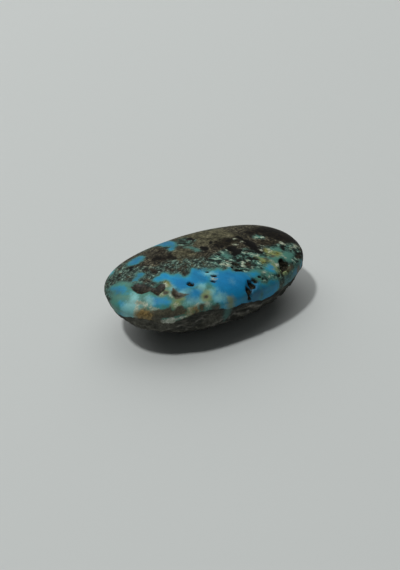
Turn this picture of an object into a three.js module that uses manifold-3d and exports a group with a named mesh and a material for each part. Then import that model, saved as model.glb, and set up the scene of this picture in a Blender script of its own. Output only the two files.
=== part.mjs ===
// A turquoise nugget: one lump of blue and green turquoise still in its dark host rock. The upper
// side is tumbled to a smooth low dome, the underside is left as rough rock, and a small patch of
// it is ground flat for the stone to lie on. Millimetres, +Z up, long axis on X, table at z = 0.
import * as THREE from "three";
import { mergeVertices } from "three/addons/utils/BufferGeometryUtils.js";
import { ImprovedNoise } from "three/addons/math/ImprovedNoise.js";
import Module from "manifold-3d";

// Overall form
const HALF_LENGTH = 19;
const HALF_WIDTH = 10.65;
const OUTLINE_POWER = 2.3; // a little fuller than an ellipse seen from above
const EDGE_HEIGHT = 7.5; // the widest line of the stone above the table
const DOME_HEIGHT = 3.8; // crown above the widest line
const CROWN_SHIFT = [-2.9, -0.85]; // the crown stands left of the middle
const BELLY_SHIFT = [0.55, -1.45]; // the lowest part lies towards the front
const GROUND_OFF = 0.5; // height taken off the belly for the flat

// Facets
const FACET_RINGS = 20;
const FACET_SPREAD = [1, 1.2, 1.55]; // evens out the facets over the long, low form

// Tumbled dome: swells left by hand and drum
const SWELL_HEIGHT = 0.1;
const SWELL_SPACING = 7.5;
const DIMPLE_HEIGHT = 0.035;
const DIMPLE_SPACING = 2.6;

// Rough rock of the underside: stepped ledges, thin ridges between, coarser where it is out of sight
const ROUGH_FROM = 7.0; // height where the rough skin begins
const ROUGH_FULL = 4.8; // height where it reaches its full relief
const ROUGH_FADE = [0.15, 1.3]; // heights over which it dies away round the flat
const LEDGE_SPACING = 6.5;
const LEDGE_RISE = 2.4;
const LEDGE_STEPS = 4;
const LEDGE_RELIEF = 0.85;
const RIDGE_SPACING = 3.1;
const RIDGE_RELIEF = 0.3;
const RIDGE_SHARPNESS = 2.6;

// Hollows, each an oval seen from above: place, half length and half width, turn in degrees,
// and depth below the skin. The brown ones are soft rock worn down, the black ones are pits.
const DOME_HOLLOWS = {
  brownPatch: { at: [-14.2, -2.1], half: [2.15, 1.35], turn: -52, depth: 0.3 },
  brownPatchBeside: { at: [-11.9, -4.2], half: [1.5, 1.0], turn: 12, depth: 0.26 },
  brownFleck: { at: [-9.6, -6.4], half: [1.15, 0.8], turn: -40, depth: 0.22 },
  brownShelf: { at: [-12.4, -8.2], half: [3.4, 0.85], turn: -27, depth: 0.18 },
  blackBay: { at: [9.0, -0.9], half: [3.1, 0.95], turn: -74, depth: 0.24 },
  blackBayBeside: { at: [4.9, -1.2], half: [1.7, 1.0], turn: -80, depth: 0.2 },
  frontPit: { at: [3.3, -9.6], half: [1.25, 0.8], turn: 28, depth: 0.5 },
  rightPit: { at: [11.6, -7.2], half: [1.3, 0.95], turn: 34, depth: 0.55 },
  backNotch: { at: [-4.5, 6.1], half: [0.9, 0.8], turn: 60, depth: 0.25 },
  backBay: { at: [0.4, 7.0], half: [1.5, 1.0], turn: -60, depth: 0.22 },
};
const BELLY_HOLLOWS = {
  longVug: { at: [-9.5, 0.8], half: [2.6, 1.2], turn: 24, depth: 0.75 },
  roundVug: { at: [9.8, 2.4], half: [1.7, 1.4], turn: 0, depth: 0.8 },
  backVug: { at: [1.5, 5.6], half: [2.3, 1.0], turn: -12, depth: 0.6 },
  frontVug: { at: [-6.0, -6.6], half: [1.5, 0.9], turn: -20, depth: 0.45 },
};
const HOLLOW_FLOOR = 0.5; // share of a hollow's width that lies at its full depth
const HOLLOW_WOBBLE = 0.2; // how far a hollow's outline strays from its oval
const HOLLOW_WOBBLE_SPACING = 1.9;

const grain = new ImprovedNoise();

// Noise between -1 and 1 with lumps about the given spacing wide
function lumps(p, spacing, seed) {
  return grain.noise(p.x / spacing + seed, p.y / spacing - seed, p.z / spacing + 2 * seed);
}

// Distance from the middle to the outline in one direction, seen from above
function outlineRadius(turn) {
  const along = Math.abs(Math.cos(turn)) / HALF_LENGTH;
  const across = Math.abs(Math.sin(turn)) / HALF_WIDTH;
  return Math.pow(along ** OUTLINE_POWER + across ** OUTLINE_POWER, -1 / OUTLINE_POWER);
}

// Point of the smooth form that belongs to a direction on the unit ball
function smoothForm(direction) {
  const turn = Math.atan2(direction.y, direction.x);
  const reach = outlineRadius(turn) * Math.hypot(direction.x, direction.y);
  const onDome = direction.z >= 0;
  const lift = Math.abs(direction.z);
  const [shiftX, shiftY] = onDome ? CROWN_SHIFT : BELLY_SHIFT;
  const height = onDome ? DOME_HEIGHT : -(EDGE_HEIGHT + GROUND_OFF);
  return new THREE.Vector3(
    reach * Math.cos(turn) + shiftX * lift,
    reach * Math.sin(turn) + shiftY * lift,
    EDGE_HEIGHT + height * lift,
  );
}

// Depth of one hollow at a point: deep in the middle, rounded over at its uneven edge
function hollowDepth(p, { at, half, turn, depth }) {
  const angle = THREE.MathUtils.degToRad(turn);
  const dx = p.x - at[0];
  const dy = p.y - at[1];
  const u = (dx * Math.cos(angle) + dy * Math.sin(angle)) / half[0];
  const v = (dy * Math.cos(angle) - dx * Math.sin(angle)) / half[1];
  const away = Math.hypot(u, v) + HOLLOW_WOBBLE * lumps(p, HOLLOW_WOBBLE_SPACING, 5.3);
  return depth * (1 - THREE.MathUtils.smoothstep(away, HOLLOW_FLOOR, 1));
}

function deepestHollow(p, hollows) {
  return Math.max(...Object.values(hollows).map((hollow) => hollowDepth(p, hollow)));
}

// Height of the rough rock above its mean skin: flat treads, short risers, and ridges between
function rockRelief(p) {
  const slope = 0.5 + 0.5 * grain.noise(p.x / LEDGE_SPACING, p.y / LEDGE_SPACING, p.z / LEDGE_RISE);
  const climb = slope * LEDGE_STEPS;
  const tread = Math.floor(climb);
  const ledges = (tread + THREE.MathUtils.smoothstep(climb - tread, 0.55, 1)) / LEDGE_STEPS - 0.5;
  const ridges = 0.5 - Math.min(1, RIDGE_SHARPNESS * Math.abs(lumps(p, RIDGE_SPACING, 1.7)));
  return LEDGE_RELIEF * ledges + RIDGE_RELIEF * ridges;
}

// Surface of the real stone: the smooth form moved in or out along its own normal
function stoneSurface(direction) {
  const p = smoothForm(direction);
  const onDome = direction.z >= 0;
  const [shiftX, shiftY] = onDome ? CROWN_SHIFT : BELLY_SHIFT;
  const rise = onDome ? DOME_HEIGHT : EDGE_HEIGHT + GROUND_OFF;
  const lift = Math.abs(p.z - EDGE_HEIGHT) / rise;
  const normal = new THREE.Vector3(
    (p.x - shiftX * lift) / HALF_LENGTH ** 2,
    (p.y - shiftY * lift) / HALF_WIDTH ** 2,
    (p.z - EDGE_HEIGHT) / rise ** 2,
  ).normalize();
  const polished =
    SWELL_HEIGHT * lumps(p, SWELL_SPACING, 0.4) + DIMPLE_HEIGHT * lumps(p, DIMPLE_SPACING, 3.1);
  const rough =
    (1 - THREE.MathUtils.smoothstep(p.z, ROUGH_FULL, ROUGH_FROM)) *
    THREE.MathUtils.smoothstep(p.z, ...ROUGH_FADE);
  const hollow = onDome
    ? deepestHollow(p, DOME_HOLLOWS)
    : rough * deepestHollow(p, BELLY_HOLLOWS);
  return p.addScaledVector(normal, polished + rough * rockRelief(p) - hollow);
}

// The closed skin: a fine ball of triangles carried onto the stone's surface
function skin() {
  const ball = new THREE.IcosahedronGeometry(1, FACET_RINGS);
  ball.deleteAttribute("normal");
  ball.deleteAttribute("uv");
  const shell = mergeVertices(ball);
  const points = shell.attributes.position;
  const spread = new THREE.Vector3(...FACET_SPREAD);
  for (let i = 0; i < points.count; i++) {
    const direction = new THREE.Vector3().fromBufferAttribute(points, i);
    direction.multiply(spread).normalize();
    points.setXYZ(i, ...stoneSurface(direction));
  }
  return shell;
}

// Everything below the table is ground away, which leaves the flat the stone lies on
async function groundFlat(shell) {
  const wasm = await Module();
  wasm.setup();
  const lump = new wasm.Manifold(
    new wasm.Mesh({
      numProp: 3,
      vertProperties: shell.attributes.position.array,
      triVerts: new Uint32Array(shell.index.array),
    }),
  );
  const cut = lump.trimByPlane([0, 0, 1], 0).getMesh();
  const points = new Float32Array(cut.numVert * 3);
  for (let i = 0; i < cut.numVert; i++) {
    points.set(cut.vertProperties.subarray(i * cut.numProp, i * cut.numProp + 3), i * 3);
  }
  const solid = new THREE.BufferGeometry();
  solid.setAttribute("position", new THREE.BufferAttribute(points, 3));
  solid.setIndex(new THREE.BufferAttribute(cut.triVerts, 1));
  return solid;
}

const geometry = await groundFlat(skin());

// Middle of the stone's box on the origin, its flat on z = 0
geometry.computeBoundingBox();
const middle = geometry.boundingBox.getCenter(new THREE.Vector3());
geometry.translate(-middle.x, -middle.y, 0);
geometry.computeVertexNormals();

const turquoiseInMatrix = new THREE.MeshStandardMaterial({ color: 0x4c7f8a, roughness: 0.45 });
const nugget = new THREE.Mesh(geometry, turquoiseInMatrix);
nugget.name = "nugget";

const part = new THREE.Group();
part.add(nugget);
export default part;
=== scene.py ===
import math

import bmesh
import bpy
import numpy as np
from mathutils import Euler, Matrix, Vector, noise


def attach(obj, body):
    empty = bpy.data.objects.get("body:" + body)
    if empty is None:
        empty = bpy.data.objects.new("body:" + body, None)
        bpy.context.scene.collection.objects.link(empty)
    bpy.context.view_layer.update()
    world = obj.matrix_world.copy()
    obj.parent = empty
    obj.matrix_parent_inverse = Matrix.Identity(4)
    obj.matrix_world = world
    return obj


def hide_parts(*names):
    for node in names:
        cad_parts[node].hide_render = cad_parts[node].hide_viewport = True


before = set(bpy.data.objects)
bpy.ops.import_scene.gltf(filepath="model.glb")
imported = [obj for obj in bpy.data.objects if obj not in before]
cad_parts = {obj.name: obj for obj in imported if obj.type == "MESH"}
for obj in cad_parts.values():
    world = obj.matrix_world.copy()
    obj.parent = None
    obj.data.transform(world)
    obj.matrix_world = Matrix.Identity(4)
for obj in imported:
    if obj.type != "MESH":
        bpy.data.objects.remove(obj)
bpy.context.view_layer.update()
scene = bpy.context.scene


# The nugget: one lump of turquoise that filled the cracks of a dark iron-stained rock. It is dug out,
# the loose rock is knocked off, and the upper side is tumbled until it is smooth and satin. The
# underside keeps the rough skin it broke out with. Nothing is fixed to it; it lies on its own flat.
MM = 0.001
SKIN_STEP = 0.16 * MM  # finer than the smallest pit that shows
WEARING_PASSES, WEAR_IN_A_PASS = 9, 0.5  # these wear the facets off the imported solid

worked = bmesh.new()
worked.from_mesh(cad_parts["nugget"].data)
bmesh.ops.remove_doubles(worked, verts=worked.verts, dist=0.001 * MM)
stone_mesh = bpy.data.meshes.new("rough_nugget")
worked.to_mesh(stone_mesh)
worked.free()
rough_nugget = bpy.data.objects.new("rough_nugget", stone_mesh)
scene.collection.objects.link(rough_nugget)

fine_skin = rough_nugget.modifiers.new("fine_skin", "REMESH")
fine_skin.mode = "VOXEL"
fine_skin.voxel_size = SKIN_STEP
worn = rough_nugget.modifiers.new("worn", "SMOOTH")
worn.factor = WEAR_IN_A_PASS
worn.iterations = WEARING_PASSES
bpy.context.view_layer.update()
worn_nugget = rough_nugget.evaluated_get(bpy.context.evaluated_depsgraph_get())
tumbled_mesh = bpy.data.meshes.new_from_object(worn_nugget)
bpy.data.objects.remove(rough_nugget)

# The markings, as they lie seen from above, in millimetres. Each is a drawn outline, or
# where a marking is small or soft an oval: x, y, half length, half width, turn in degrees.
BLUE = [
    # the broad blue field along the front, with its upper left lobe
    [(-11.5, -2.0), (-11.0, -1.2), (-10.2, -1.15), (-9.6, -0.85), (-8.9, -0.85), (-8.4, -1.35),
     (-8.2, -2.1), (-7.6, -2.3), (-7.1, -2.4), (-6.85, -3.1), (-6.5, -3.7), (-5.9, -3.75),
     (-5.3, -3.4), (-5.0, -2.8), (-4.4, -2.5), (-3.8, -2.75), (-3.5, -3.3), (-3.0, -3.7), (-2.3, -4.0),
     (-2.6, -7.0), (-4.9, -7.2), (-6.7, -6.9), (-8.1, -6.6), (-8.9, -6.4), (-9.2, -5.8), (-9.4, -5.0),
     (-9.6, -4.3), (-9.4, -3.6), (-9.8, -3.1), (-10.4, -3.0), (-11.0, -2.6)],
    # its deep heart
    [(-3.0, -3.8), (-1.6, -4.3), (-0.9, -4.5), (-0.2, -4.7), (0.4, -5.1), (1.0, -5.2), (1.6, -4.95),
     (2.0, -5.4), (2.0, -6.1), (2.7, -6.6), (3.5, -6.85), (4.0, -7.3), (4.2, -8.0), (4.6, -8.9),
     (5.4, -9.5), (5.4, -11.2), (-1.4, -11.2), (-3.0, -11.0), (-3.6, -10.4), (-4.1, -10.0),
     (-4.4, -9.4), (-4.3, -8.8), (-3.7, -8.3), (-3.2, -7.9), (-3.3, -7.0)],
    [(-7.5, -8.1), (-7.2, -7.4), (-6.7, -6.8), (-5.8, -6.7), (-5.3, -7.1), (-5.3, -7.9), (-5.7, -8.5),
     (-6.4, -8.8), (-7.2, -8.7)],
    [(-14.2, -4.7), (-13.9, -5.5), (-14.4, -6.4), (-13.9, -6.95), (-12.9, -7.3), (-12.1, -7.6),
     (-11.3, -7.8), (-10.7, -7.6), (-10.9, -6.9), (-11.6, -6.2), (-12.2, -5.8), (-12.6, -5.3),
     (-13.2, -4.8), (-13.7, -4.6)],
    [(-14.4, 0.2), (-14.0, 0.7), (-13.3, 1.1), (-12.9, 1.6), (-12.5, 1.7), (-12.0, 1.3), (-11.9, 0.7),
     (-12.5, 0.2), (-13.1, -0.1), (-13.8, -0.2)],
    [(-13.0, 4.8), (-12.8, 5.8), (-12.1, 6.4), (-11.0, 6.7), (-10.0, 6.9), (-9.3, 6.4), (-9.2, 5.8),
     (-9.7, 5.1), (-10.3, 4.5), (-11.2, 4.2), (-12.3, 4.3)],
    # a streak that runs down the back
    [(-5.0, 4.4), (-4.9, 5.4), (-4.0, 5.6), (-4.3, 6.4), (-5.0, 6.9), (-5.2, 7.8), (-5.4, 8.8),
     (-6.2, 9.6), (-5.0, 9.7), (-4.0, 9.2), (-3.4, 9.7), (-2.9, 9.0), (-2.4, 8.0), (-2.3, 7.0),
     (-2.7, 6.0), (-3.1, 5.2), (-3.9, 4.6), (-4.2, 4.0)],
    # the right of the front edge
    [(4.2, -7.3), (5.0, -7.2), (5.8, -7.4), (6.3, -8.0), (5.9, -8.4), (5.2, -8.3), (4.7, -8.6),
     (4.2, -8.2)],
    [(5.0, -9.4), (6.2, -9.6), (7.4, -9.4), (9.2, -9.3), (9.3, -10.2), (7.0, -11.0), (5.0, -11.0)],
    [(7.5, -7.4), (8.0, -6.8), (8.8, -6.5), (9.5, -6.8), (9.9, -7.4), (9.7, -8.1), (9.0, -8.5),
     (8.1, -8.3)],
    [(10.0, -9.7), (11.0, -9.1), (12.4, -8.45), (13.8, -7.65), (15.2, -6.8), (16.2, -6.1),
     (17.4, -5.4), (18.4, -6.0), (16.0, -9.0), (11.0, -11.0), (10.0, -10.6)],
    # azure streaks at the left end, and flecks along the back
    (-17.0, 0.0, 2.1, 0.85, -58), (-17.9, -3.2, 1.2, 0.6, -70), (-8.4, 9.4, 0.8, 0.35, 12),
    (3.6, 10.0, 1.3, 0.38, -6), (12.2, 8.3, 0.9, 0.32, -32), (-15.5, 6.1, 0.9, 0.36, 48),
]
GREEN = [
    # the left end, and all between the blue patches of the left front
    [(-18.3, 1.2), (-17.9, 1.9), (-17.3, 1.9), (-16.4, 1.8), (-15.6, 1.2), (-15.0, 0.3), (-14.0, -0.4),
     (-13.4, -0.7), (-13.2, -2.0), (-12.4, -3.2), (-10.9, -3.0), (-10.0, -3.4), (-9.3, -4.6),
     (-8.8, -5.6), (-7.0, -6.0), (-5.0, -6.4), (-3.0, -6.4), (-2.4, -7.6), (-3.0, -9.0), (-3.6, -9.8),
     (-4.2, -11.0), (-8.0, -11.0), (-13.0, -10.0), (-19.6, -6.0), (-19.6, -1.2), (-18.7, -0.3)],
    [(11.0, -5.4), (12.0, -5.2), (13.0, -4.6), (14.2, -4.5), (15.2, -4.9), (15.0, -5.6), (14.2, -6.1),
     (13.4, -6.6), (12.6, -6.5), (11.6, -6.2), (10.9, -6.0)],
    [(11.6, -3.2), (12.6, -2.8), (13.3, -3.2), (13.4, -3.9), (12.7, -4.3), (11.7, -4.1)],
    [(2.4, -1.7), (3.1, -1.7), (3.4, -2.2), (3.3, -2.8), (2.8, -2.8), (2.4, -2.4)],
    [(7.7, -4.0), (8.6, -4.3), (9.4, -4.9), (9.2, -5.7), (8.4, -5.6), (7.9, -4.9)],
    [(9.4, -5.2), (10.6, -4.8), (11.4, -5.3), (11.0, -6.2), (10.6, -6.9), (10.2, -7.5), (9.9, -8.0),
     (9.2, -8.6), (8.0, -8.6), (8.2, -9.3), (7.0, -9.3), (6.7, -8.6), (7.2, -8.0), (7.4, -7.2),
     (8.2, -6.5), (9.3, -6.3)],
    [(10.5, 1.2), (10.9, 1.6), (11.3, 1.3), (11.6, 1.9), (11.8, 1.3), (12.3, 0.9), (12.2, 0.5),
     (11.7, 0.6), (11.2, 0.6), (10.7, 0.7)],
    [(-1.8, 3.9), (-1.3, 3.6), (-1.0, 2.9), (-0.5, 1.9), (-0.7, 1.4), (-1.2, 1.9), (-1.6, 2.8),
     (-2.1, 3.7)],
    [(3.8, -8.4), (4.8, -8.9), (5.6, -9.3), (6.6, -9.0), (6.4, -8.2), (7.0, -7.6), (6.4, -6.9),
     (4.6, -6.9), (3.8, -7.2)],
    [(-3.0, -3.4), (-1.6, -3.8), (-0.4, -4.4), (0.6, -4.8), (0.4, -5.3), (-1.4, -4.8), (-2.8, -4.4)],
]
PALE = [
    [(-16.2, -4.4), (-15.7, -4.2), (-15.2, -4.9), (-14.6, -5.3), (-14.7, -6.0), (-15.2, -5.9),
     (-15.3, -5.2), (-15.9, -4.9)],
    [(-17.6, -5.9), (-17.0, -5.2), (-16.4, -4.7), (-15.9, -4.9), (-16.2, -5.5), (-16.9, -6.0)],
    [(-10.5, -3.3), (-9.9, -3.4), (-9.9, -4.3), (-10.3, -4.7), (-10.7, -4.3)],
    [(-12.0, -5.2), (-11.5, -5.1), (-11.2, -5.4), (-11.6, -5.6)],
    [(-14.7, -6.3), (-14.2, -6.1), (-14.0, -6.6), (-13.3, -7.2), (-13.9, -7.2), (-14.5, -6.8)],
    [(10.5, -4.0), (10.7, -3.3), (11.3, -3.0), (11.4, -3.5), (10.9, -4.0)],
    [(14.2, -1.8), (14.9, -1.4), (15.1, -1.9), (15.3, -2.5), (14.8, -2.6), (14.5, -2.2)],
    (-10.5, -6.3, 0.3, 0.4, 0), (-10.6, -8.2, 0.4, 0.25, 0), (-8.7, -9.6, 0.45, 0.3, 0),
    (-7.4, -9.65, 0.5, 0.25, 0), (-5.6, -9.9, 0.6, 0.3, 0), (-5.2, -8.95, 0.32, 0.27, 0),
    (-2.1, -6.35, 0.5, 0.2, -30), (17.2, -2.9, 0.5, 0.25, 50), (15.8, -3.4, 0.5, 0.25, 30),
    (1.0, -3.9, 0.35, 0.25, 0), (1.7, -4.5, 0.5, 0.3, -40), (4.4, -5.3, 0.4, 0.75, -20),
    (5.2, -6.5, 0.35, 0.3, 0), (6.6, -2.6, 0.4, 0.3, 0), (8.0, -4.1, 0.5, 0.25, 0),
    (6.1, 0.2, 0.32, 0.2, -30), (6.9, 1.9, 0.24, 0.18, 0), (7.9, 0.65, 0.3, 0.2, 0),
    (11.0, 1.0, 0.4, 0.25, 0), (12.1, 0.75, 0.25, 0.2, 0), (7.3, -8.9, 0.5, 0.25, 0),
    (9.9, -6.2, 0.5, 0.25, -60), (10.4, -7.1, 0.5, 0.25, 40), (-10.2, 1.8, 0.35, 0.15, 60),
    (5.7, -4.7, 0.4, 0.25, 0), (2.6, -3.9, 0.5, 0.16, -35), (7.1, -8.0, 0.35, 0.2, -30),
    (12.9, -5.6, 0.4, 0.2, -50), (9.6, -2.9, 0.4, 0.2, -60),
]
GOLD = [
    [(-17.2, -5.6), (-16.4, -5.6), (-15.7, -5.8), (-15.3, -6.1), (-14.9, -6.7), (-14.7, -7.4),
     (-15.1, -8.2), (-16.4, -7.2)],
    (-8.0, -9.85, 0.6, 0.14, -14), (-15.75, -4.6, 0.35, 0.15, -50),
]
BROWN = [
    [(-15.2, -0.7), (-14.8, -0.3), (-14.2, -0.4), (-13.7, -0.8), (-13.3, -1.2), (-13.0, -1.7),
     (-12.7, -2.2), (-12.4, -2.8), (-12.25, -3.25), (-12.4, -3.6), (-12.8, -3.55), (-13.4, -3.5),
     (-13.9, -3.45), (-14.5, -3.4), (-15.0, -2.9), (-15.2, -2.2), (-15.3, -1.5)],
    [(-12.9, -4.6), (-12.3, -3.9), (-11.7, -3.3), (-11.1, -3.1), (-10.5, -3.2), (-10.3, -3.8),
     (-10.6, -4.6), (-11.2, -4.9), (-11.8, -5.0), (-12.3, -5.25)],
    (-12.4, -3.8, 0.75, 0.45, -70),
    [(-10.0, -6.0), (-9.6, -5.6), (-9.3, -6.0), (-9.2, -6.7), (-8.8, -7.2), (-9.4, -7.3),
     (-10.1, -7.0)],
    [(-10.6, 1.4), (-10.2, 1.6), (-9.8, 0.7), (-9.9, -0.2), (-10.3, -0.6), (-10.5, 0.2)],
    [(10.3, -0.7), (11.0, -0.3), (12.0, -0.5), (13.2, -0.6), (13.9, -0.9), (14.3, -1.6), (13.4, -2.0),
     (12.4, -2.1), (11.4, -1.9), (10.6, -1.5)],
    [(15.0, -5.7), (15.8, -5.2), (16.8, -5.0), (17.4, -5.4), (16.2, -5.9), (15.3, -6.1)],
    (-6.0, -2.8, 0.35, 0.55, -20), (5.3, -5.6, 0.55, 0.35, 0), (-6.3, 5.3, 0.7, 0.5, 40),
]
OLIVE = [
    [(-15.4, -6.5), (-14.5, -7.0), (-13.4, -7.3), (-12.6, -7.7), (-12.0, -7.8), (-11.5, -8.0),
     (-11.2, -8.5), (-10.4, -8.5), (-9.8, -8.6), (-9.3, -9.2), (-9.6, -9.9), (-12.0, -9.6),
     (-16.0, -8.0)],
    [(-10.1, -5.7), (-9.5, -5.2), (-9.1, -5.7), (-9.0, -6.4), (-8.4, -7.0), (-7.6, -7.5), (-8.6, -7.6),
     (-9.9, -7.5), (-10.3, -7.2), (-10.3, -6.5)],
    (-12.5, -1.0, 0.6, 0.25, 20), (-5.2, -8.9, 0.45, 0.3, 0), (-9.5, -9.4, 0.45, 0.35, 0),
    (-7.9, -9.95, 0.6, 0.3, 0), (-6.6, -9.95, 0.7, 0.33, 0), (-11.0, -5.4, 0.45, 0.3, 0),
    (-4.4, -10.6, 0.9, 0.3, 0), (15.0, -7.4, 0.7, 0.3, 35), (12.9, -7.7, 0.9, 0.33, 24),
    (10.6, -5.1, 0.6, 0.25, 15), (9.2, -5.4, 0.5, 0.25, -40),
]
BLACK = [
    [(7.6, 2.6), (8.3, 2.8), (8.5, 2.0), (8.6, 1.3), (9.2, 1.0), (9.6, 0.4), (9.7, -0.6), (9.6, -1.6),
     (9.9, -2.4), (10.2, -3.1), (9.9, -3.7), (9.2, -3.9), (8.6, -3.4), (8.3, -2.6), (7.8, -2.4),
     (8.1, -1.4), (7.7, -0.7), (7.6, 0.0), (8.2, 0.4), (8.1, 1.2), (7.8, 2.0)],
    [(4.0, -0.3), (4.5, 0.2), (5.3, 0.1), (5.8, -0.4), (5.7, -1.0), (6.2, -1.3), (6.4, -1.8),
     (5.8, -2.3), (5.0, -2.7), (4.1, -2.9), (3.8, -2.3), (4.2, -1.8), (4.6, -1.5), (4.0, -1.1)],
    [(0.0, 2.4), (0.4, 2.6), (0.8, 2.1), (1.2, 2.0), (1.3, 1.2), (0.9, 0.8), (0.3, 0.9), (0.1, 1.6)],
    [(-0.6, 7.3), (0.3, 7.6), (1.0, 7.2), (1.1, 6.2), (0.9, 5.4), (0.3, 5.0), (-0.1, 5.6),
     (-0.4, 6.4)],
    [(-5.1, 6.5), (-4.6, 6.5), (-4.3, 6.1), (-4.1, 5.6), (-4.4, 5.3), (-4.8, 5.6), (-5.0, 6.0)],
    [(15.6, -4.9), (16.6, -4.6), (17.6, -4.2), (18.5, -4.2), (17.6, -5.2), (16.2, -5.1)],
    (2.6, 2.8, 0.3, 0.45, -20), (3.5, 0.6, 0.2, 0.35, -30), (5.6, 1.8, 0.55, 0.35, 0),
    (3.0, 1.7, 0.4, 0.25, 0), (-5.6, -2.9, 0.45, 0.22, 25), (-3.2, -3.3, 0.35, 0.22, 0),
    (5.6, -3.5, 0.22, 0.2, 0), (6.5, -3.6, 0.32, 0.2, 0), (7.3, -4.4, 0.35, 0.22, 0),
    (6.3, -4.8, 0.3, 0.3, 0), (7.4, -5.2, 0.45, 0.22, -20), (8.2, -6.0, 0.42, 0.22, -15),
    (5.8, -6.7, 0.3, 0.3, 0), (9.4, -4.8, 0.5, 0.2, 10), (12.0, -4.6, 0.3, 0.5, -35),
    (13.9, -3.5, 0.35, 0.5, -20), (14.5, -2.9, 0.45, 0.28, 0), (14.8, -5.7, 0.35, 0.2, 20),
    (11.9, 1.7, 0.2, 0.45, 20), (11.5, 0.35, 0.55, 0.16, 0), (12.3, -2.3, 0.5, 0.22, 0),
    (-8.6, 0.6, 0.3, 0.2, 0), (-13.2, 3.2, 0.35, 0.25, 0), (7.0, -7.2, 0.3, 0.3, 0),
    (4.2, -4.3, 0.5, 0.2, -20), (-12.8, 3.9, 0.45, 0.3, 0), (10.2, 1.6, 0.25, 0.5, 10),
    (0.9, -3.4, 0.6, 0.18, -5), (2.1, -3.4, 0.35, 0.25, 20), (11.6, -9.0, 0.4, 0.25, 20),
    (9.6, -8.9, 0.5, 0.22, 5), (4.45, -10.1, 0.6, 0.25, -35), (9.0, -8.6, 0.5, 0.3, -30),
    (12.0, -8.3, 0.2, 0.3, 0), (-10.4, 9.0, 1.3, 0.42, 14), (-13.6, 7.4, 0.9, 0.36, 34),
    (6.4, 9.8, 1.7, 0.42, -9), (10.8, 8.7, 1.1, 0.4, -24),
]
# Holes that the soft rock fell out of
HOLES = [
    [(-7.0, -5.5), (-6.7, -5.2), (-6.3, -5.3), (-5.9, -5.8), (-5.85, -6.2), (-6.2, -6.4), (-6.6, -6.2),
     (-6.9, -5.9)],
    [(2.1, -5.9), (2.7, -6.0), (3.3, -6.2), (3.8, -6.4), (3.6, -6.75), (2.9, -6.5), (2.3, -6.3)],
    [(2.5, -4.5), (2.8, -4.2), (3.3, -4.6), (3.8, -5.0), (3.6, -5.3), (3.0, -5.0)],
    [(10.6, -7.7), (11.0, -7.1), (11.1, -6.5), (11.5, -6.0), (12.1, -5.8), (12.7, -6.2), (12.9, -6.8),
     (12.6, -7.5), (11.9, -8.0), (11.2, -8.3), (10.6, -8.6)],
    [(3.15, -8.5), (3.85, -8.85), (4.25, -9.6), (4.1, -10.1), (3.35, -9.75), (3.1, -9.1)],
    [(2.5, -9.3), (3.2, -9.6), (3.3, -10.1), (3.0, -10.5), (2.6, -10.8), (2.2, -10.6), (2.05, -10.1)],
    (4.45, -8.95, 0.58, 0.3, -45), (-1.8, -5.8, 0.6, 0.2, -30), (-2.35, -4.5, 0.42, 0.17, -25),
    (-2.55, -6.8, 0.5, 0.16, -30), (2.2, -5.25, 0.2, 0.2, 0), (5.8, -8.6, 0.35, 0.2, -20),
    (6.2, -9.0, 0.3, 0.18, 0), (-11.2, 3.9, 0.3, 0.15, 0),
]
# Kinds of rock between them: fine grey-green grain, rock with the turquoise broken up in it, dark
# rock, and warmer rock. The two grey-green strips along the back edge are a painted sheen, not rock.
GREEN_GRAIN_AND_BACK_SHEEN = [
    [(-19.6, 7.0), (-13.5, 7.5), (-12.0, 3.6), (-10.0, 2.2), (-7.6, 1.6), (-5.2, 0.8), (-2.0, -0.4),
     (1.8, -0.8), (3.4, -0.9), (4.0, -4.5), (-3.0, -4.5), (-9.5, -3.0), (-13.0, -3.0), (-19.6, -1.0)],
    # the next two strips along the back edge: a painted sheen, laid on as pale grey-green grain
    [(-9.4, 8.9), (-7.6, 8.6), (-5.8, 9.0), (-6.0, 10.8), (-10.0, 10.4)],
    [(5.6, 9.4), (8.8, 8.7), (12.8, 7.9), (12.0, 9.6), (6.0, 10.8)],
    [(1.5, -1.2), (7.4, -1.4), (10.3, -1.8), (15.5, -1.6), (18.5, -2.0), (17.0, -8.5), (2.0, -10.5),
     (2.0, -5.0)],
]
BROKEN_TURQUOISE = [
    [(-0.5, -1.6), (1.6, -1.0), (3.8, -0.6), (4.0, -2.6), (7.0, -1.6), (8.0, -3.0), (10.3, -4.0),
     (11.4, -2.6), (13.8, -2.0), (16.8, -2.6), (17.8, -4.4), (16.0, -6.0), (13.0, -8.6), (8.0, -9.6),
     (4.4, -9.4), (3.6, -6.8), (1.8, -4.8), (-0.6, -4.2)],
    [(-2.6, 5.6), (-1.2, 7.6), (0.2, 8.0), (0.4, 5.4), (-0.6, 4.2), (-2.4, 4.4)],
]
DARK_ROCK = [
    [(13.0, 4.8), (14.5, 5.2), (16.0, 4.8), (17.4, 3.6), (18.4, 2.0), (19.4, 0.3), (19.4, -1.2),
     (18.3, -2.2), (17.0, -1.8), (16.0, -1.4), (15.0, -1.4), (14.2, -0.5), (12.9, 0.0), (12.7, 1.5),
     (10.4, 2.2), (10.0, 3.6)],
    [(-9.0, 4.2), (-5.4, 3.4), (-4.8, 1.4), (-7.2, 1.8), (-9.6, 3.2)],
    [(3.0, 2.9), (7.6, 3.0), (7.6, 0.6), (5.6, 0.4), (2.0, 0.6)],
]
WARM_ROCK = [
    [(-1.0, 9.0), (6.0, 9.0), (8.0, 2.4), (6.4, 0.6), (2.8, 0.8), (0.6, 2.6), (-1.6, 5.0)],
    [(-5.5, 3.5), (-2.0, 4.2), (-1.2, 0.8), (-2.2, -2.2), (-4.2, -2.0), (-6.2, 1.0)],
]
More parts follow.
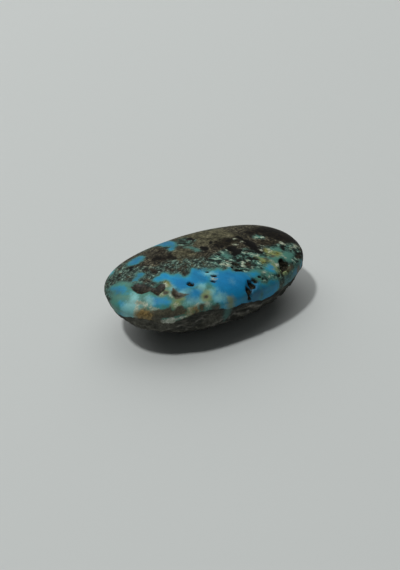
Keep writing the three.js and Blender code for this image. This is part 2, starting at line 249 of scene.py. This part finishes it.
# Where the turquoise is duller, chalky or deepest, and an ochre haze that stains it
DULL = [
    (-13.2, 0.8, 1.4, 0.9, 22), (-11.2, 5.6, 2.0, 1.4, 12), (-3.8, 7.4, 3.2, 1.6, 82),
    (-1.2, 2.7, 1.4, 0.5, -60), (-17.8, 0.6, 1.6, 0.8, -60), (3.7, -10.3, 1.7, 1.0, 0),
    (13.4, -8.4, 3.4, 0.7, 28),
]
SKY = [
    (-17.3, -4.6, 1.7, 1.2, -40), (-16.2, -3.9, 2.0, 0.8, 58), (-14.0, -5.3, 0.5, 0.8, 10),
    (-5.0, -7.0, 0.8, 0.7, 0), (-3.1, -9.6, 1.1, 0.6, 0), (-2.2, -9.9, 0.5, 0.5, 0),
    (-3.9, -8.6, 1.0, 0.6, 0), (-6.0, -9.4, 1.2, 0.6, 0), (-7.0, -9.0, 0.7, 0.5, 0),
    (-8.4, -6.9, 1.0, 0.5, 0), (-7.9, -8.7, 1.0, 0.5, 0), (-9.7, -5.2, 0.6, 0.6, 0),
    (-2.2, -5.0, 0.9, 0.45, -30), (0.6, -7.9, 0.3, 0.45, 0),
]
DEEP = [
    (0.9, -7.9, 2.9, 1.7, -20), (-8.0, -4.6, 1.2, 1.5, 0), (-3.8, -3.6, 1.3, 0.7, 0),
    (-6.5, -7.8, 0.9, 0.7, 0),
]
HAZE = [
    (-4.5, -8.4, 0.5, 0.4, -30), (-5.2, -9.0, 1.0, 0.8, 0), (-1.2, -10.5, 0.65, 0.4, 0),
    (-10.4, -8.0, 0.9, 0.5, 0), (-11.2, -5.3, 0.9, 0.5, 0), (-9.9, -3.9, 0.5, 0.9, 0),
    (-8.7, -9.8, 0.8, 0.35, 0), (-9.6, -7.3, 0.9, 0.6, -30), (8.9, -6.4, 2.2, 0.9, -60),
    (11.4, -4.5, 1.5, 0.8, 0), (11.4, -8.0, 1.3, 0.6, 20), (10.6, -3.6, 0.7, 0.7, 0),
]
# On the face of the front edge, seen from the front: x and height above the table. The streak is
# green, with calcite in it; the vein is turquoise; dust and seams are paler than the dark rock.
STREAK_ON_EDGE = [
    [(-13.4, 7.5), (-12.7, 6.85), (-11.7, 6.8), (-10.4, 7.15), (-9.1, 7.45), (-8.0, 8.2), (-7.6, 8.8),
     (-8.4, 8.9), (-9.4, 8.5), (-10.7, 8.05), (-12.0, 7.75), (-13.0, 7.85)],
]
CALCITE_ON_EDGE = [
    (-12.0, 7.15, 1.1, 0.42, 4), (-10.2, 7.6, 0.8, 0.18, 14),
]
VEIN_DOWN_EDGE = [
    [(-3.0, 8.3), (-0.5, 8.3), (-1.1, 7.2), (-1.3, 6.1), (-1.6, 5.0), (-2.4, 3.9), (-2.6, 5.0),
     (-2.6, 6.1), (-2.4, 7.2)],
]
DUST_ON_EDGE = [
    [(-17.8, 3.0), (-17.6, 7.6), (-12.4, 7.4), (-11.0, 6.4), (-11.6, 4.0), (-13.0, 2.6)],
    [(-6.4, 4.2), (-6.6, 6.4), (-5.0, 7.2), (-2.9, 7.0), (-2.9, 4.6)],
]
SEAMS_ON_EDGE = [
    [(-9.1, 3.3), (-8.9, 5.0), (-7.8, 6.3), (-6.5, 6.85), (-6.5, 6.4), (-7.5, 5.9), (-8.4, 4.8),
     (-8.6, 3.3)],
    [(-4.8, 5.1), (-3.2, 4.95), (-1.1, 4.8), (-1.1, 4.35), (-3.3, 4.5), (-4.7, 4.7)],
    [(-0.8, 5.4), (0.7, 5.2), (2.9, 4.3), (2.9, 3.85), (0.7, 4.7), (-0.7, 4.95)],
    [(2.8, 5.75), (4.2, 5.25), (5.6, 4.65), (5.5, 4.25), (4.1, 4.85), (2.8, 5.35)],
    [(-12.6, 4.0), (-11.4, 5.2), (-10.2, 5.9), (-10.1, 5.5), (-11.2, 4.8), (-12.2, 3.7)],
    [(-6.2, 3.4), (-5.3, 4.3), (-4.3, 4.6), (-4.3, 4.2), (-5.1, 3.9), (-5.8, 3.1)],
]
# Where the polish ends and the rough rock begins: degrees round from the right-hand end, height
POLISH_ENDS = [
    (0, 7.2), (12, 6.7), (27, 7.3), (45, 6.5), (60, 7.0), (78, 6.2), (93, 6.9), (108, 6.4), (124, 7.1),
    (139, 6.5), (152, 6.9), (165, 6.2), (175, 6.3), (187, 6.5), (191, 6.7), (194.5, 7.2), (198, 7.55),
    (205, 7.5), (211, 6.7), (217, 6.65), (222, 7.05), (228, 7.6), (232, 8.0), (243, 7.9), (250, 7.7),
    (254, 7.4), (262, 6.8), (267, 6.8), (273, 7.1), (279, 6.9), (286, 6.6), (297, 5.8), (305, 5.7),
    (311, 6.0), (320, 5.7), (325, 6.1), (331, 6.2), (338, 6.6), (350, 7.0), (360, 7.2),
]

columns = np.zeros(len(tumbled_mesh.vertices) * 3)
tumbled_mesh.vertices.foreach_get("co", columns)
place = columns.reshape(-1, 3) / MM
tumbled_mesh.vertices.foreach_get("normal", columns)
outward = columns.reshape(-1, 3).copy()
FAR_MM = 4.0  # further from a marking than this, the depth no longer counts


def inside(east, north, marks):
    """How many millimetres inside the nearest of some marks each point lies; outside is negative."""
    deepest = np.full(len(east), -FAR_MM)
    for mark in marks:
        if isinstance(mark, tuple):
            x, y, half_length, half_width, turn = mark
            angle = math.radians(turn)
            along = ((east - x) * math.cos(angle) + (north - y) * math.sin(angle)) / half_length
            across = ((north - y) * math.cos(angle) - (east - x) * math.sin(angle)) / half_width
            depth = (1 - np.hypot(along, across)) * min(half_length, half_width)
        else:
            nearest, within = np.full(len(east), FAR_MM), np.zeros(len(east), dtype=bool)
            for (x0, y0), (x1, y1) in zip(mark, mark[1:] + mark[:1]):
                run, climb = x1 - x0, y1 - y0
                passed = ((east - x0) * run + (north - y0) * climb) / (run * run + climb * climb)
                passed = np.clip(passed, 0, 1)
                gap = np.hypot(east - x0 - passed * run, north - y0 - passed * climb)
                nearest = np.minimum(nearest, gap)
                if climb:
                    within ^= ((y0 > north) != (y1 > north)) & (east < x0 + (north - y0) * run / climb)
            depth = np.where(within, nearest, -nearest)
        deepest = np.maximum(deepest, depth)
    return deepest


# The front edge's face lies before this place and reaches up to this height
EDGE_FACE_BEFORE, EDGE_FACE_BELOW = -4.5, 9.2
HOLES_KEEP_ABOVE_EDGE = 0.2  # a hole lies at least this far above the end of the polish
x, y, z = place.T
marked = {name: inside(x, y, marks) for name, marks in {
    "blue": BLUE, "green": GREEN, "pale": PALE, "gold": GOLD, "olive": OLIVE, "brown": BROWN,
    "black": BLACK, "hole": HOLES, "green_grain": GREEN_GRAIN_AND_BACK_SHEEN, "broken": BROKEN_TURQUOISE,
    "dark_rock": DARK_ROCK, "warm_rock": WARM_ROCK, "dull": DULL, "sky": SKY, "deep": DEEP,
    "haze": HAZE}.items()}
front_face = np.minimum(EDGE_FACE_BEFORE - y, EDGE_FACE_BELOW - z)
streak = np.minimum(front_face, inside(x, z, STREAK_ON_EDGE))
marked["green"] = np.maximum(marked["green"], streak)
marked["olive"] = np.minimum(marked["olive"], -streak)
marked["stain"] = np.maximum(marked["blue"], marked["green"])
for name, marks in {"calcite": CALCITE_ON_EDGE, "vein": VEIN_DOWN_EDGE, "dust": DUST_ON_EDGE,
                    "seam": SEAMS_ON_EDGE}.items():
    marked[name] = np.clip(np.minimum(front_face, inside(x, z, marks)), -FAR_MM, FAR_MM)
round_from_right = np.degrees(np.arctan2(y, x)) % 360
marked["polished"] = np.clip(z - np.interp(round_from_right, *zip(*POLISH_ENDS)), -FAR_MM, FAR_MM)
marked["hole"] = np.where(marked["polished"] > HOLES_KEEP_ABOVE_EDGE, marked["hole"], -FAR_MM)

# Holes and soft brown rock lie below the polish, and their walls fall between these two depths
# inside the outline. Below the edge the rock turns knobbly and ridged.
HOLE_DEPTH, HOLE_WALL = 0.34, (-0.12, 0.18)
BROWN_DEPTH, BROWN_WALL = 0.07, (-0.12, 0.12)
ROUGHENS_BELOW_POLISH = (0.0, 1.7)
FADES_ABOVE_TABLE = (0.1, 1.3)
KNOB_MM, KNOB_HEIGHT = 1.25, 0.23
KNOB_FADE, KNOB_STEP, KNOB_SIZES = 0.75, 2.2, 5  # each smaller size of knob is so much weaker
RIDGE_MM, RIDGE_HEIGHT = 2.3, 0.22
RIDGE_CREST, RIDGE_SPREAD, RIDGE_SHARPNESS = 0.35, 2.2, 0.6
RIDGES_LIE_FLAT = (1, 1, 1.7)


def ramp(value, low, high):
    """Rises smoothly from 0 to 1 while a value goes from low to high."""
    rise = np.clip((value - low) / (high - low), 0, 1)
    return rise * rise * (3 - 2 * rise)


rough_share = ramp(-marked["polished"], *ROUGHENS_BELOW_POLISH) * ramp(z, *FADES_ABOVE_TABLE)
knobs, ridges = np.zeros(len(place)), np.zeros(len(place))
for i in np.flatnonzero(rough_share):
    knobs[i] = noise.fractal(Vector(place[i] / KNOB_MM), KNOB_FADE, KNOB_STEP, KNOB_SIZES)
    off_crest = abs(noise.noise(Vector(place[i] * RIDGES_LIE_FLAT / RIDGE_MM)) * RIDGE_SPREAD)
    ridges[i] = RIDGE_CREST - off_crest ** RIDGE_SHARPNESS
lift = rough_share * (KNOB_HEIGHT * knobs + RIDGE_HEIGHT * ridges)
lift -= HOLE_DEPTH * ramp(marked["hole"], *HOLE_WALL) + BROWN_DEPTH * ramp(marked["brown"], *BROWN_WALL)
place += outward * lift[:, None]
tumbled_mesh.vertices.foreach_set("co", (place * MM).ravel())
tumbled_mesh.polygons.foreach_set("use_smooth", [True] * len(tumbled_mesh.polygons))
for name, depth in marked.items():
    tumbled_mesh.attributes.new(name, "FLOAT", "POINT").data.foreach_set("value", depth)

nugget = bpy.data.objects.new("turquoise_nugget", tumbled_mesh)
scene.collection.objects.link(nugget)


def srgb(code):
    """A hex colour as the linear colour a shader takes."""
    levels = [int(code[i:i + 2], 16) / 255 for i in (1, 3, 5)]
    return [c / 12.92 if c <= 0.04045 else ((c + 0.055) / 1.055) ** 2.4 for c in levels] + [1]


def add(tree, kind, settings=None, **inputs):
    """Adds a shader node with its settings and links, and gives it back.

    An input goes by its name, or by _ and its number. It is a value, a hex colour, another node for
    its first output, or a node and the name of its output."""
    node = tree.nodes.new(kind)
    for key, value in (settings or {}).items():
        if key == "stops":
            while len(node.color_ramp.elements) < len(value):
                node.color_ramp.elements.new(0.5)
            for stop, (at, colour) in zip(node.color_ramp.elements, value):
                stop.position, stop.color = at, srgb(colour)
        else:
            setattr(node, key, value)
    offered = [socket for socket in node.inputs if socket.enabled]
    for key, value in inputs.items():
        named = [socket for socket in offered if socket.name == key.replace("_", " ")]
        socket = named[0] if named else offered[int(key[1:])]
        if isinstance(value, bpy.types.Node):
            tree.links.new(next(output for output in value.outputs if output.enabled), socket)
        elif isinstance(value, tuple) and isinstance(value[0], bpy.types.Node):
            tree.links.new(value[0].outputs[value[1]], socket)
        else:
            socket.default_value = srgb(value) if isinstance(value, str) else value
    return node


# Turquoise in its matrix, tumbled to a satin: waxy blue and green patches with a crisp, ragged edge,
# duller granular rock between them, and matt dark rock in the holes and underneath. It is no metal,
# and turquoise has an index of refraction of 1.61.
stone = bpy.data.materials.new("tumbled_turquoise_in_matrix")
stone.use_nodes = True
tree = stone.node_tree
tree.nodes.clear()
where = add(tree, "ShaderNodeTexCoord")
mm = add(tree, "ShaderNodeVectorMath", {"operation": "SCALE"}, Vector=(where, "Object"), Scale=1 / MM)

# Sizes of the patterns, in millimetres
EDGE_MM = 1.2  # notches in the edge of a patch
GRAIN_MM = 0.42  # grains of the rock
CELL_MM = 0.68  # flakes where the turquoise is broken up
CLOUD_MM = 4.2  # one kind of rock passing into the next
SHADE_MM = 1.9  # lighter and darker streaks
GRIT_MM = 0.3  # grit that speckles the rock
SEAM_MM = 1.7  # seams of the underside
OTHER_PLACE, ANOTHER_PLACE = (31, 7, 13), (-17, 23, 5)  # a noise read there is unlike the first
FLAKE_SHAPE, FLAKE_TURN = (1.9, 0.85, 1), math.radians(-45)  # long flakes, that lie slanting
GRAIN_SHAPE, GRAIN_TURN = (1.25, 0.9, 1), math.radians(15)
edge_noise = add(tree, "ShaderNodeTexNoise", Vector=mm, Scale=1 / EDGE_MM, Detail=6, Roughness=0.68)
shifted = add(tree, "ShaderNodeVectorMath", {"operation": "ADD"}, _0=mm, _1=OTHER_PLACE)
other_noise = add(tree, "ShaderNodeTexNoise", Vector=shifted, Scale=1 / EDGE_MM, Detail=6, Roughness=0.68)
slanting = add(tree, "ShaderNodeMapping", {"vector_type": "TEXTURE"}, Vector=mm, Scale=FLAKE_SHAPE,
               Rotation=(0, 0, FLAKE_TURN))
streaky = add(tree, "ShaderNodeVectorMath", {"operation": "ADD"}, _0=slanting, _1=ANOTHER_PLACE)
shade_noise = add(tree, "ShaderNodeTexNoise", Vector=streaky, Scale=1 / SHADE_MM, Detail=3, Roughness=0.6)
clouds = add(tree, "ShaderNodeTexNoise", Vector=shifted, Scale=1 / CLOUD_MM, Detail=4, Roughness=0.55)
grit = add(tree, "ShaderNodeTexNoise", Vector=shifted, Scale=1 / GRIT_MM, Detail=3, Roughness=0.65)
drawn_out = add(tree, "ShaderNodeMapping", {"vector_type": "TEXTURE"}, Vector=mm, Scale=GRAIN_SHAPE,
                Rotation=(0, 0, GRAIN_TURN))
grains = add(tree, "ShaderNodeTexNoise", Vector=drawn_out, Scale=1 / GRAIN_MM, Detail=3,
             Roughness=0.75, Distortion=0.2)
cells = add(tree, "ShaderNodeTexNoise", Vector=slanting, Scale=1 / CELL_MM, Detail=4,
            Roughness=0.66, Distortion=0.5)

# How much of the grain is in a ragged edge, and in the softer look of the warm rock
GRAIN_IN_EDGE, GRAIN_IN_SOFT_ROCK = 0.45, 0.55
ragged = add(tree, "ShaderNodeMix", {"data_type": "FLOAT"}, Factor=GRAIN_IN_EDGE, A=edge_noise, B=grains)
soft_grain = add(tree, "ShaderNodeMix", {"data_type": "FLOAT"}, Factor=GRAIN_IN_SOFT_ROCK,
                 A=other_noise, B=grains)

# Each marking's edge strays with a noise by so many millimetres, and is crisp or soft by so many.
# A marking hides what lies under it, but for the veils, which hide only a part of it.
VEILS = {"sky": 0.8, "deep": 0.6, "dull": 0.45, "stain": 0.5, "dust": 0.45}
share = {}
for name, (stray, wander, soft) in {
    "blue": (ragged, 2.2, 0.3), "green": (ragged, 2.8, 0.42), "pale": (ragged, 1.7, 0.22),
    "calcite": (ragged, 1.2, 0.22), "gold": (ragged, 1.9, 0.45), "olive": (ragged, 1.3, 0.16),
    "brown": (ragged, 2.0, 0.17), "black": (ragged, 1.4, 0.12), "hole": (ragged, 1.1, 0.11),
    "green_grain": (clouds, 6.0, 0.8), "broken": (clouds, 4.0, 0.7), "dark_rock": (edge_noise, 4.0, 0.7),
    "warm_rock": (clouds, 5.0, 0.9), "dull": (ragged, 2.0, 0.7), "sky": (ragged, 2.4, 0.6),
    "deep": (clouds, 4.0, 1.0), "haze": (ragged, 1.6, 0.42), "seam": (other_noise, 1.0, 0.24),
    "vein": (other_noise, 1.2, 0.45), "dust": (edge_noise, 2.0, 0.7), "stain": (edge_noise, 1.8, 0.8),
    "polished": (edge_noise, 1.3, 0.1),
}.items():
    depth = add(tree, "ShaderNodeAttribute", {"attribute_name": name})
    strayed = add(tree, "ShaderNodeMath", {"operation": "MULTIPLY_ADD"}, _0=stray, _1=wander,
                  _2=(depth, "Fac"))
    share[name] = add(tree, "ShaderNodeMapRange", {"interpolation_type": "SMOOTHSTEP"}, Value=strayed,
                      From_Min=wander / 2 - soft, From_Max=wander / 2 + soft, To_Max=VEILS.get(name, 1))

# Granular rock: brown, warmer in places, grey-green or full of broken turquoise in others, with a painted
# sheen of pale grey-green grain along the back edge
BROKEN_COVERS = 0.85
FLAKES_SHOW = 0.7
SHADING = 0.8  # of the lighter and darker streaks, in rock and turquoise alike
brown_grain = add(tree, "ShaderNodeValToRGB", {"stops": [
    (0.3, "#080705"), (0.41, "#1A1712"), (0.49, "#302D22"), (0.57, "#4A4636"), (0.66, "#6B6753"),
    (0.76, "#96937D")]}, Fac=grains)
warm_grain = add(tree, "ShaderNodeValToRGB", {"stops": [
    (0.32, "#14130C"), (0.42, "#2E2C1E"), (0.49, "#464431"), (0.56, "#5C5943"), (0.64, "#79765F"),
    (0.74, "#A09D87")]}, Fac=soft_grain)
# grey-green grain of the rock, and also the painted sheen along the back edge
green_grain = add(tree, "ShaderNodeValToRGB", {"stops": [
    (0.3, "#0B0E0C"), (0.42, "#1D2520"), (0.49, "#34433B"), (0.57, "#506A5E"), (0.65, "#7C988A"),
    (0.76, "#B9C8B8")]}, Fac=grains)
broken_turquoise = add(tree, "ShaderNodeValToRGB", {"stops": [
    (0.36, "#050706"), (0.44, "#0F1613"), (0.49, "#22362F"), (0.53, "#365A4F"), (0.58, "#547D71"),
    (0.64, "#93A992"), (0.72, "#D6DAC8")]}, Fac=cells)
patches = add(tree, "ShaderNodeMapRange", {"interpolation_type": "SMOOTHSTEP"}, Value=other_noise,
              From_Min=0.4, From_Max=0.52)
green_patches = add(tree, "ShaderNodeMath", {"operation": "MULTIPLY"}, _0=patches, _1=share["green_grain"])
broken_patches = add(tree, "ShaderNodeMath", {"operation": "MULTIPLY"}, _0=share["broken"], _1=BROKEN_COVERS)
flaked = add(tree, "ShaderNodeMapRange", Value=cells, From_Min=0.4, From_Max=0.62, To_Min=0.5, To_Max=1.5)
mottled = add(tree, "ShaderNodeMapRange", Value=shade_noise, From_Min=0.3, From_Max=0.7,
              To_Min=0.6, To_Max=1.35)
rock = (brown_grain, "Color")
for covers, way, colour in [
    (share["warm_rock"], "MIX", (warm_grain, "Color")),
    (green_patches, "MIX", (green_grain, "Color")),
    (broken_patches, "MIX", (broken_turquoise, "Color")),
    (FLAKES_SHOW, "MULTIPLY", flaked),
    (share["stain"], "MIX", "#4D7C74"),
    (SHADING, "MULTIPLY", mottled),
    (share["dark_rock"], "MULTIPLY", "#6E655E"),
    (share["black"], "MIX", "#0B0A08"),
]:
    rock = add(tree, "ShaderNodeMix", {"data_type": "RGBA", "blend_type": way}, Factor=covers,
               A=rock, B=colour)

# Turquoise: blue in the heart of a patch, green towards the rock, chalky pale in places
BLUE_STRAYS = 2.2
blue_depth = add(tree, "ShaderNodeAttribute", {"attribute_name": "blue"})
clouded = add(tree, "ShaderNodeMath", {"operation": "MULTIPLY_ADD"}, _0=edge_noise, _1=BLUE_STRAYS,
              _2=(blue_depth, "Fac"))
blueness = add(tree, "ShaderNodeMapRange", Value=clouded, From_Min=0.75, From_Max=2.3)
blue_and_green = add(tree, "ShaderNodeValToRGB", {"stops": [
    (0.0, "#4A7E70"), (0.2, "#3F8580"), (0.42, "#2B8BA3"), (0.68, "#1788B4"), (1.0, "#0C7EAE")]},
    Fac=blueness)
turquoise = (blue_and_green, "Color")
for name, colour in {"sky": "#86C6C6", "deep": "#0672A8", "dull": "#33484A"}.items():
    turquoise = add(tree, "ShaderNodeMix", {"data_type": "RGBA"}, Factor=share[name], A=turquoise, B=colour)
waxy = add(tree, "ShaderNodeMapRange", Value=shade_noise, From_Min=0.3, From_Max=0.7, To_Min=0.78, To_Max=1.2)
turquoise = add(tree, "ShaderNodeMix", {"data_type": "RGBA", "blend_type": "MULTIPLY"}, Factor=SHADING,
                A=turquoise, B=waxy)
filled = add(tree, "ShaderNodeMath", {"operation": "MAXIMUM"}, _0=share["blue"], _1=share["green"])
skin = add(tree, "ShaderNodeMix", {"data_type": "RGBA"}, Factor=filled, A=rock, B=turquoise)

# The ochre haze and the chalk: whole on turquoise, wisps between the flakes where it is broken up
chalk = add(tree, "ShaderNodeValToRGB", {"stops": [
    (0.36, "#7E947F"), (0.52, "#A9B398"), (0.7, "#D2D4C4")]}, Fac=grains)
for name, whole, (low, high), (least, most), colour in [
    ("haze", 0.72, (0.42, 0.58), (0.1, 0.78), "#8E9148"),
    ("pale", 0.78, (0.44, 0.54), (0.05, 0.85), (chalk, "Color")),
]:
    wisps = add(tree, "ShaderNodeMapRange", Value=cells, From_Min=low, From_Max=high,
                To_Min=least, To_Max=most)
    strength = add(tree, "ShaderNodeMix", {"data_type": "FLOAT"}, Factor=share["broken"], A=whole, B=wisps)
    covers = add(tree, "ShaderNodeMath", {"operation": "MULTIPLY"}, _0=share[name], _1=strength)
    skin = add(tree, "ShaderNodeMix", {"data_type": "RGBA"}, Factor=covers, A=skin, B=colour)

# Iron rock that stayed on top, olive, golden rust and dark brown, with the calcite streak between
# them, and the dark broken rock down in the holes
for name, grain, stops in [
    ("olive", soft_grain, [(0.32, "#2C2B1D"), (0.5, "#4B4A3B"), (0.68, "#6B6854")]),
    ("gold", soft_grain, [(0.34, "#3A301C"), (0.5, "#7A663B"), (0.66, "#AD955F")]),
    ("calcite", grains, [(0.36, "#A3AE98"), (0.56, "#D8DED0")]),
    ("brown", grains, [(0.36, "#0A0906"), (0.5, "#211E14"), (0.66, "#423A2B")]),
    ("hole", grains, [(0.38, "#0D0F0B"), (0.52, "#24231B"), (0.66, "#454236")]),
]:
    colour = add(tree, "ShaderNodeValToRGB", {"stops": stops}, Fac=grain)
    skin = add(tree, "ShaderNodeMix", {"data_type": "RGBA"}, Factor=share[name], A=skin, B=(colour, "Color"))

# Rough underside: nearly black rock with paler seams, dusty in places, and one vein of turquoise
# running down it
SEAM_SQUEEZE, SEAM_LEAN = (0.6, 0.6, 1.6), math.radians(25)  # long seams that lean a little
leaning = add(tree, "ShaderNodeMapping", Vector=mm, Scale=SEAM_SQUEEZE, Rotation=(0, SEAM_LEAN, 0))
seams = add(tree, "ShaderNodeTexNoise", Vector=leaning, Scale=1 / SEAM_MM, Detail=6,
            Roughness=0.66, Distortion=0.8)
under_rock = add(tree, "ShaderNodeValToRGB", {"stops": [
    (0.32, "#1B1C18"), (0.44, "#2D2E29"), (0.54, "#3E3E37"), (0.61, "#5A5950"), (0.72, "#8D8B83")]},
    Fac=seams)
dust = add(tree, "ShaderNodeValToRGB", {"stops": [
    (0.36, "#34342B"), (0.5, "#66655A"), (0.64, "#8E8D80")]}, Fac=soft_grain)
seam_broken = add(tree, "ShaderNodeMapRange", Value=edge_noise, From_Min=0.42, From_Max=0.58,
                  To_Min=0.12, To_Max=0.72)
broken_seam = add(tree, "ShaderNodeMath", {"operation": "MULTIPLY"}, _0=share["seam"], _1=seam_broken)
under = (under_rock, "Color")
for covers, colour in [
    (share["dust"], (dust, "Color")),
    (broken_seam, "#8B8981"),
    (share["vein"], "#4F716B"),
]:
    under = add(tree, "ShaderNodeMix", {"data_type": "RGBA"}, Factor=covers, A=under, B=colour)
skin = add(tree, "ShaderNodeMix", {"data_type": "RGBA"}, Factor=share["polished"], A=under, B=skin)

# Grit that speckles the rock, and the turquoise only a little
sparkle = add(tree, "ShaderNodeMapRange", Value=grit, From_Min=0.25, From_Max=0.75, To_Min=0.78, To_Max=1.22)
speckled = add(tree, "ShaderNodeMapRange", Value=filled, To_Min=1.0, To_Max=0.25)
skin = add(tree, "ShaderNodeMix", {"data_type": "RGBA", "blend_type": "MULTIPLY"}, Factor=speckled,
           A=skin, B=sparkle)

# Satin where it is turquoise, duller on rock, matt underneath and in the holes
ROUGH_TURQUOISE, ROUGH_ROCK, ROUGH_UNDERSIDE, ROUGH_HOLE = 0.52, 0.66, 0.88, 0.95
SHINE, SHINE_IN_HOLE = 0.24, 0.05
GRAIN_RELIEF_MM = 0.12
polish = add(tree, "ShaderNodeMapRange", Value=filled, To_Min=ROUGH_ROCK, To_Max=ROUGH_TURQUOISE)
above_edge = add(tree, "ShaderNodeMix", {"data_type": "FLOAT"}, Factor=share["polished"],
                 A=ROUGH_UNDERSIDE, B=polish)
roughness = add(tree, "ShaderNodeMix", {"data_type": "FLOAT"}, Factor=share["hole"],
                A=above_edge, B=ROUGH_HOLE)
shine = add(tree, "ShaderNodeMapRange", Value=share["hole"], To_Min=SHINE, To_Max=SHINE_IN_HOLE)
worn_down = add(tree, "ShaderNodeMapRange", Value=share["polished"], To_Min=1.0, To_Max=0.35)
relief = add(tree, "ShaderNodeMath", {"operation": "MULTIPLY"}, _0=worn_down, _1=grains)
surface = add(tree, "ShaderNodeBump", Height=relief, Distance=GRAIN_RELIEF_MM * MM, Strength=0.6)
shader = add(tree, "ShaderNodeBsdfPrincipled", Base_Color=skin, Roughness=roughness, Normal=surface,
             IOR=1.61, Specular_IOR_Level=shine)
add(tree, "ShaderNodeOutputMaterial", Surface=shader)

nugget.data.materials.clear()
nugget.data.materials.append(stone)
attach(nugget, "root")
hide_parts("nugget")


# The table: a plain pale board, painted and left matt, so that it gives no highlight. It lies level
# and the stone rests on it.
TABLE_HALF = 0.6
table = bmesh.new()
bmesh.ops.create_grid(table, x_segments=2, y_segments=2, size=TABLE_HALF)
table_mesh = bpy.data.meshes.new("table")
table.to_mesh(table_mesh)
table.free()
table_top = bpy.data.objects.new("table", table_mesh)
scene.collection.objects.link(table_top)
board = bpy.data.materials.new("matt_pale_board")
board.use_nodes = True
board_shader = board.node_tree.nodes["Principled BSDF"]
board_shader.inputs["Base Color"].default_value = srgb("#C9CDCB")
board_shader.inputs["Roughness"].default_value = 0.8
board_shader.inputs["Specular IOR Level"].default_value = 0.2
table_mesh.materials.append(board)


# The light: one small lamp high on the left, which draws the shadow's crisp edge, and a wide soft
# one behind the stone, with very little coming from the front
ROOM_LIGHTS, ROOM_LOOKS = 0.095, 0.75  # how bright the room is for the stone, and for the camera


def lamp(name, towards, distance, size, power, shape="DISK", size_y=None):
    data = bpy.data.lights.new(name, "AREA")
    data.shape, data.size, data.energy = shape, size, power
    if size_y:
        data.size_y = size_y
    lit = bpy.data.objects.new(name, data)
    lit.location = Vector(towards).normalized() * distance
    lit.rotation_euler = (-lit.location).to_track_quat("-Z", "Y").to_euler()
    scene.collection.objects.link(lit)
    return lit


lamp("high_left_lamp", towards=(-0.3235, 0.216, 1.0), distance=1.2, size=0.12, power=6.3)
window = lamp("wide_back_window", towards=(0.229, 0.906, 1.0), distance=1.1, size=2.0, power=11.5,
              shape="RECTANGLE", size_y=1.4)
window.visible_glossy = False
room = bpy.data.worlds.new("dim_room")
room.use_nodes = True
backdrop = room.node_tree.nodes["Background"]
backdrop.inputs["Color"].default_value = srgb("#D8DCDC")
seen = add(room.node_tree, "ShaderNodeLightPath")
brightness = add(room.node_tree, "ShaderNodeMapRange", Value=(seen, "Is Camera Ray"), To_Min=ROOM_LIGHTS,
                 To_Max=ROOM_LOOKS)
room.node_tree.links.new(brightness.outputs[0], backdrop.inputs["Strength"])
scene.world = room


# The camera: to the left of the stone's front, looking down at it. Its distance, aim and focal
# length put the stone and its shadow in the frame where the picture has them.
FRAME_HIGH_PX = 570
FOCAL_PX = 1000
SENSOR_MM = 36
AZIMUTH, ELEVATION = math.radians(-29.7), math.radians(38)
DISTANCE = 180.66 * MM
AIM = Vector((-0.82, 0.76, 4.0)) * MM
eye = bpy.data.cameras.new("camera")
eye.sensor_width = SENSOR_MM
eye.lens = FOCAL_PX * SENSOR_MM / FRAME_HIGH_PX
eye.clip_start, eye.clip_end = 0.01, 10
camera = bpy.data.objects.new("camera", eye)
back = Vector((math.sin(AZIMUTH) * math.cos(ELEVATION), -math.cos(AZIMUTH) * math.cos(ELEVATION),
               math.sin(ELEVATION)))
camera.location = AIM + back * DISTANCE
camera.rotation_euler = Euler((math.pi / 2 - ELEVATION, 0, AZIMUTH))
scene.collection.objects.link(camera)
scene.camera = camera
scene.view_settings.view_transform = "Standard"
